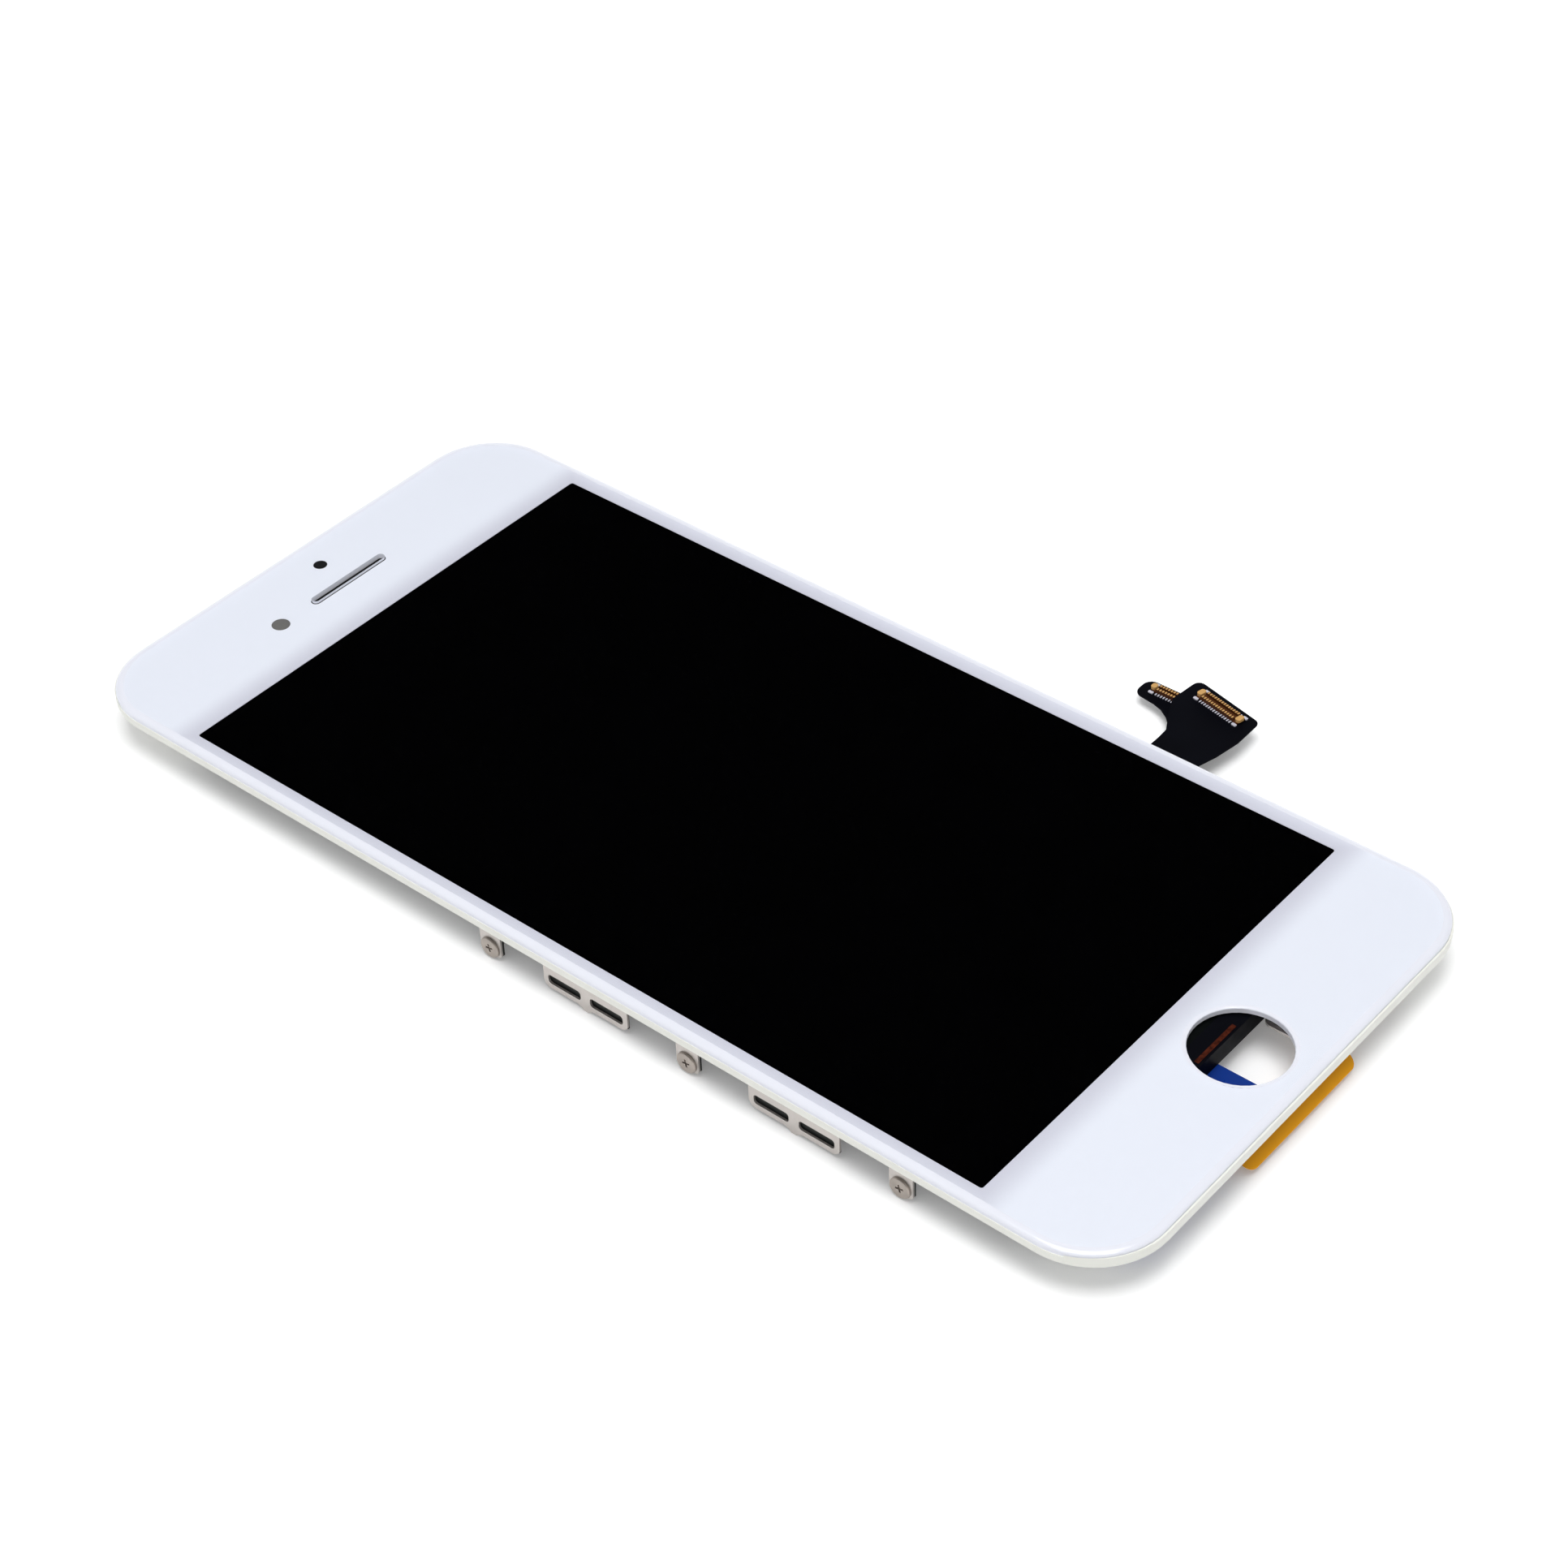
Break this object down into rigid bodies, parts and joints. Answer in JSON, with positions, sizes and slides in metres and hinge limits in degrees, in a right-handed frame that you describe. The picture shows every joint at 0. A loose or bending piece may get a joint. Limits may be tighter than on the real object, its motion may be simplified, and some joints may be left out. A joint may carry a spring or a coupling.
{
  "type": "phone display and touch assembly",
  "caption": "Flat phone front: white-bordered cover glass over a dark display module, with home button hole, side clips, screws and a flexible tail.",
  "frame": {"origin": "centre of the cover glass's front face", "axes": "+X across the phone towards the flexible tail, +Y along it towards the earpiece, +Z out of the glass"},
  "size_m": [0.0782, 0.1372, 0.0054],
  "materials": {
    "cover_glass": "polished",
    "white_print": "flat ink",
    "dark_print": "flat ink",
    "grey_plastic": "satin",
    "dark_mesh": "woven",
    "clear_adhesive": "clear",
    "polariser": "gloss",
    "panel_glass": "coated",
    "chip": "polished",
    "clear_film": "clear",
    "white_film": "matt",
    "white_plastic": "moulded",
    "lamp": "potted",
    "steel": "rolled",
    "black_foam": "foam",
    "bezel_plastic": "satin",
    "rail_steel": "stamped",
    "screw_steel": "turned",
    "dark_steel": "blackened",
    "black_film": "matt film",
    "copper": "bare copper",
    "connector_plastic": "moulded",
    "gold": "plated",
    "tin": "soldered",
    "blue_film": "film",
    "orange_film": "film"
  },
  "bodies": {
    "root": {"cover_glass": "cover_glass", "border_print": "white_print", "sensor_spot": "dark_print", "camera_ring": "grey_plastic", "earpiece_mesh": "dark_mesh", "optical_adhesive": "clear_adhesive", "front_polariser": "polariser", "filter_glass": "panel_glass", "circuit_glass": "panel_glass", "driver_chip": "chip", "rear_polariser": "polariser", "prism_film": "clear_film", "diffuser_film": "white_film", "light_guide": "clear_film", "reflector_film": "white_film", "backlight_frame": "white_plastic", "lamp_strip": "lamp", "backlight_chassis": "steel", "shield_pads": "black_foam", "bezel_frame": "bezel_plastic", "left_rail": "rail_steel", "right_rail": "rail_steel", "side_screws": "screw_steel", "shield_plate": "dark_steel", "top_bracket": "rail_steel", "bottom_bracket": "rail_steel", "display_flex": "black_film", "bond_strip": "copper", "display_backing": "steel", "display_connector": "connector_plastic", "display_contacts": "gold", "display_leads": "tin", "touch_flex": "black_film", "touch_backing": "steel", "touch_connector": "connector_plastic", "touch_contacts": "gold", "touch_leads": "tin", "blue_film": "blue_film", "pull_tab": "orange_film"}
  },
  "joints": []
}
